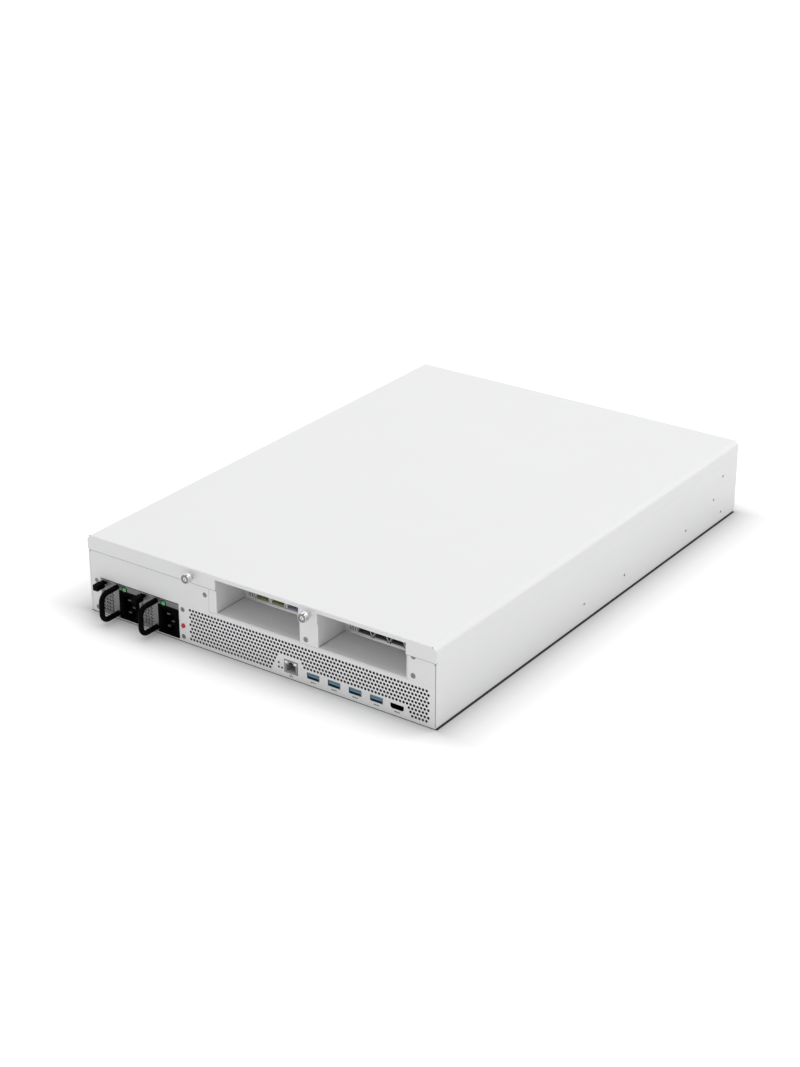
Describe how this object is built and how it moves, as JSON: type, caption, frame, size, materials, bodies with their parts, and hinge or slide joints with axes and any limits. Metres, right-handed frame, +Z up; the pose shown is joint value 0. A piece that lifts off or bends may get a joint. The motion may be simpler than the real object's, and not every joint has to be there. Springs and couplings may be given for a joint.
{
  "type": "rack server",
  "caption": "Low, wide rack server in a white folded-steel case with a sliding cover, plug-in power supplies, recessed card bays, a perforated rear panel and front drive carriers.",
  "frame": {"origin": "centre of the underside of the chassis floor", "axes": "+X right when facing the rear panel, +Y from the rear panel towards the drive bays, +Z up"},
  "size_m": [0.44, 0.6439, 0.088],
  "materials": {
    "white_steel": "white powder coat, fine texture",
    "dark_steel": "dark powder coat",
    "zinc_steel": "bright zinc plate",
    "screw_steel": "zinc plated",
    "knob_steel": "turned and nickel plated",
    "psu_shell": "plain sheet metal",
    "black_plastic": "moulded, satin",
    "carrier_plastic": "moulded, satin",
    "red_plastic": "moulded, glossy",
    "green_lens": "clear green lens",
    "board": "green solder mask over glass laminate",
    "brass_post": "turned",
    "socket_shell": "tinned",
    "chip_lid": "nickel plated lid",
    "fin_aluminium": "bare folded fins",
    "drive_aluminium": "cast housing"
  },
  "bodies": {
    "chassis": {"chassis_tray": "white_steel", "psu_panel": "white_steel", "io_panel": "white_steel", "rear_corner": "white_steel", "card_bays": "white_steel", "rear_screws": "screw_steel", "psu_cage": "zinc_steel", "power_board": "board", "motherboard": "board", "board_standoffs": "brass_post", "lan_jack": "socket_shell", "usb_sockets": "socket_shell", "hdmi_socket": "socket_shell", "processor": "chip_lid", "heatsink": "fin_aluminium", "memory_sockets": "black_plastic", "memory_modules": "board", "network_cards": "board", "left_cages": "socket_shell", "right_cages": "socket_shell", "card_risers": "board", "fan_wall": "zinc_steel", "fan_frames": "black_plastic", "drive_cage": "zinc_steel", "drive_backplane": "board", "front_frame": "white_steel", "intake_grille": "dark_steel"},
    "cover": {"top_cover": "white_steel", "thumbscrew_ferrules": "screw_steel"},
    "alarm": {"alarm_button": "red_plastic"},
    "power": {"power_button": "black_plastic"},
    "thumb_left": {"thumbscrew_left": "knob_steel"},
    "psu_left": {"psu_case_left": "psu_shell", "psu_handle_left": "black_plastic", "psu_inlet_left": "black_plastic", "psu_lamp_left": "green_lens"},
    "latch_left": {"psu_latch_left": "black_plastic"},
    "fan_left": {"psu_fan_left": "black_plastic"},
    "thumb_right": {"thumbscrew_right": "knob_steel"},
    "psu_right": {"psu_case_right": "psu_shell", "psu_handle_right": "black_plastic", "psu_inlet_right": "black_plastic", "psu_lamp_right": "green_lens"},
    "latch_right": {"psu_latch_right": "black_plastic"},
    "fan_right": {"psu_fan_right": "black_plastic"},
    "fan_1": {"fan_rotor_1": "black_plastic"},
    "fan_2": {"fan_rotor_2": "black_plastic"},
    "fan_3": {"fan_rotor_3": "black_plastic"},
    "carrier_1": {"drive_carrier_1": "carrier_plastic", "hard_drive_1": "drive_aluminium"},
    "lever_1": {"drive_lever_1": "black_plastic"},
    "carrier_2": {"drive_carrier_2": "carrier_plastic", "hard_drive_2": "drive_aluminium"},
    "lever_2": {"drive_lever_2": "black_plastic"},
    "carrier_3": {"drive_carrier_3": "carrier_plastic", "hard_drive_3": "drive_aluminium"},
    "lever_3": {"drive_lever_3": "black_plastic"},
    "carrier_4": {"drive_carrier_4": "carrier_plastic", "hard_drive_4": "drive_aluminium"},
    "lever_4": {"drive_lever_4": "black_plastic"}
  },
  "joints": [
    {"name": "cover_slide", "type": "slide", "parent": "chassis", "child": "cover", "axis": [0, -1, 0], "range_m": [0, 0.5]},
    {"name": "alarm_press", "type": "slide", "parent": "chassis", "child": "alarm", "axis": [0, 1, 0], "range_m": [0, 0.0012], "stiffness_N_per_m": 400},
    {"name": "power_press", "type": "slide", "parent": "chassis", "child": "power", "axis": [0, -1, 0], "range_m": [0, 0.0012], "stiffness_N_per_m": 500},
    {"name": "thumb_turn_left", "type": "hinge", "parent": "cover", "child": "thumb_left", "pos_m": [-0.0785, -0.3155, 0.08], "axis": [0, 1, 0], "continuous": true},
    {"name": "psu_slide_left", "type": "slide", "parent": "chassis", "child": "psu_left", "axis": [0, -1, 0], "range_m": [0, 0.2]},
    {"name": "latch_squeeze_left", "type": "hinge", "parent": "psu_left", "child": "latch_left", "pos_m": [-0.2023, -0.2995, 0.0355], "axis": [0, 0, 1], "range_deg": [0, 8], "stiffness_Nm_per_rad": 0.6},
    {"name": "psu_fan_spin_left", "type": "hinge", "parent": "psu_left", "child": "fan_left", "pos_m": [-0.1789, -0.272, 0.02105], "axis": [0, 1, 0], "continuous": true},
    {"name": "thumb_turn_right", "type": "hinge", "parent": "cover", "child": "thumb_right", "pos_m": [0.0695, -0.3155, 0.08], "axis": [0, 1, 0], "continuous": true},
    {"name": "psu_slide_right", "type": "slide", "parent": "chassis", "child": "psu_right", "axis": [0, -1, 0], "range_m": [0, 0.2]},
    {"name": "latch_squeeze_right", "type": "hinge", "parent": "psu_right", "child": "latch_right", "pos_m": [-0.149, -0.2995, 0.0355], "axis": [0, 0, 1], "range_deg": [0, 8], "stiffness_Nm_per_rad": 0.6},
    {"name": "psu_fan_spin_right", "type": "hinge", "parent": "psu_right", "child": "fan_right", "pos_m": [-0.1256, -0.272, 0.02105], "axis": [0, 1, 0], "continuous": true},
    {"name": "fan_spin_1", "type": "hinge", "parent": "chassis", "child": "fan_1", "pos_m": [-0.134, 0.086, 0.0412], "axis": [0, 1, 0], "continuous": true},
    {"name": "fan_spin_2", "type": "hinge", "parent": "chassis", "child": "fan_2", "pos_m": [0, 0.086, 0.0412], "axis": [0, 1, 0], "continuous": true},
    {"name": "fan_spin_3", "type": "hinge", "parent": "chassis", "child": "fan_3", "pos_m": [0.134, 0.086, 0.0412], "axis": [0, 1, 0], "continuous": true},
    {"name": "carrier_slide_1", "type": "slide", "parent": "chassis", "child": "carrier_1", "axis": [0, 1, 0], "range_m": [0, 0.15]},
    {"name": "lever_swing_1", "type": "hinge", "parent": "carrier_1", "child": "lever_1", "pos_m": [-0.2101, 0.3055, 0.0175], "axis": [0, 0, 1], "range_deg": [0, 55]},
    {"name": "carrier_slide_2", "type": "slide", "parent": "chassis", "child": "carrier_2", "axis": [0, 1, 0], "range_m": [0, 0.15]},
    {"name": "lever_swing_2", "type": "hinge", "parent": "carrier_2", "child": "lever_2", "pos_m": [-0.1021, 0.3055, 0.0175], "axis": [0, 0, 1], "range_deg": [0, 55]},
    {"name": "carrier_slide_3", "type": "slide", "parent": "chassis", "child": "carrier_3", "axis": [0, 1, 0], "range_m": [0, 0.15]},
    {"name": "lever_swing_3", "type": "hinge", "parent": "carrier_3", "child": "lever_3", "pos_m": [0.0059, 0.3055, 0.0175], "axis": [0, 0, 1], "range_deg": [0, 55]},
    {"name": "carrier_slide_4", "type": "slide", "parent": "chassis", "child": "carrier_4", "axis": [0, 1, 0], "range_m": [0, 0.15]},
    {"name": "lever_swing_4", "type": "hinge", "parent": "carrier_4", "child": "lever_4", "pos_m": [0.1139, 0.3055, 0.0175], "axis": [0, 0, 1], "range_deg": [0, 55]}
  ]
}
